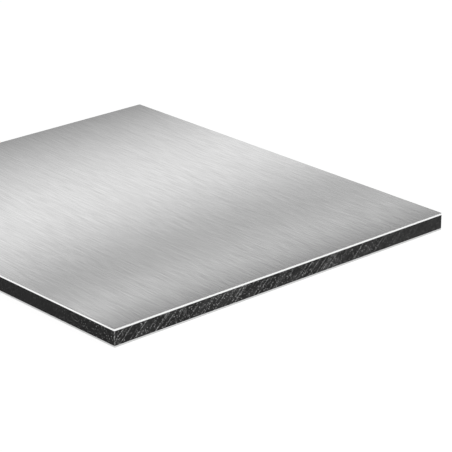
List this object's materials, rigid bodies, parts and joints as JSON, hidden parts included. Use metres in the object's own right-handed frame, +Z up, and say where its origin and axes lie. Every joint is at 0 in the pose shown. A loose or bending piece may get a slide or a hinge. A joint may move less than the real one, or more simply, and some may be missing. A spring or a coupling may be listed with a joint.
{
  "type": "aluminium composite panel",
  "caption": "Flat bonded panel with a brushed aluminium face, a black plastic core and an aluminium back, for cladding.",
  "frame": {"origin": "centre of the underside, on the surface that the panel lies on", "axes": "+Z up out of the brushed face, +Y along the brushing and the longer side, +X across the brushing"},
  "size_m": [0.0952, 0.1056, 0.004],
  "materials": {
    "brushed_aluminium": "brushed along Y, clear satin lacquer",
    "black_polyethylene": "sawn, with slanted tooth marks",
    "rolled_aluminium": "as rolled, dull"
  },
  "bodies": {
    "root": {"face_sheet": "brushed_aluminium", "core": "black_polyethylene", "back_sheet": "rolled_aluminium"}
  },
  "joints": []
}
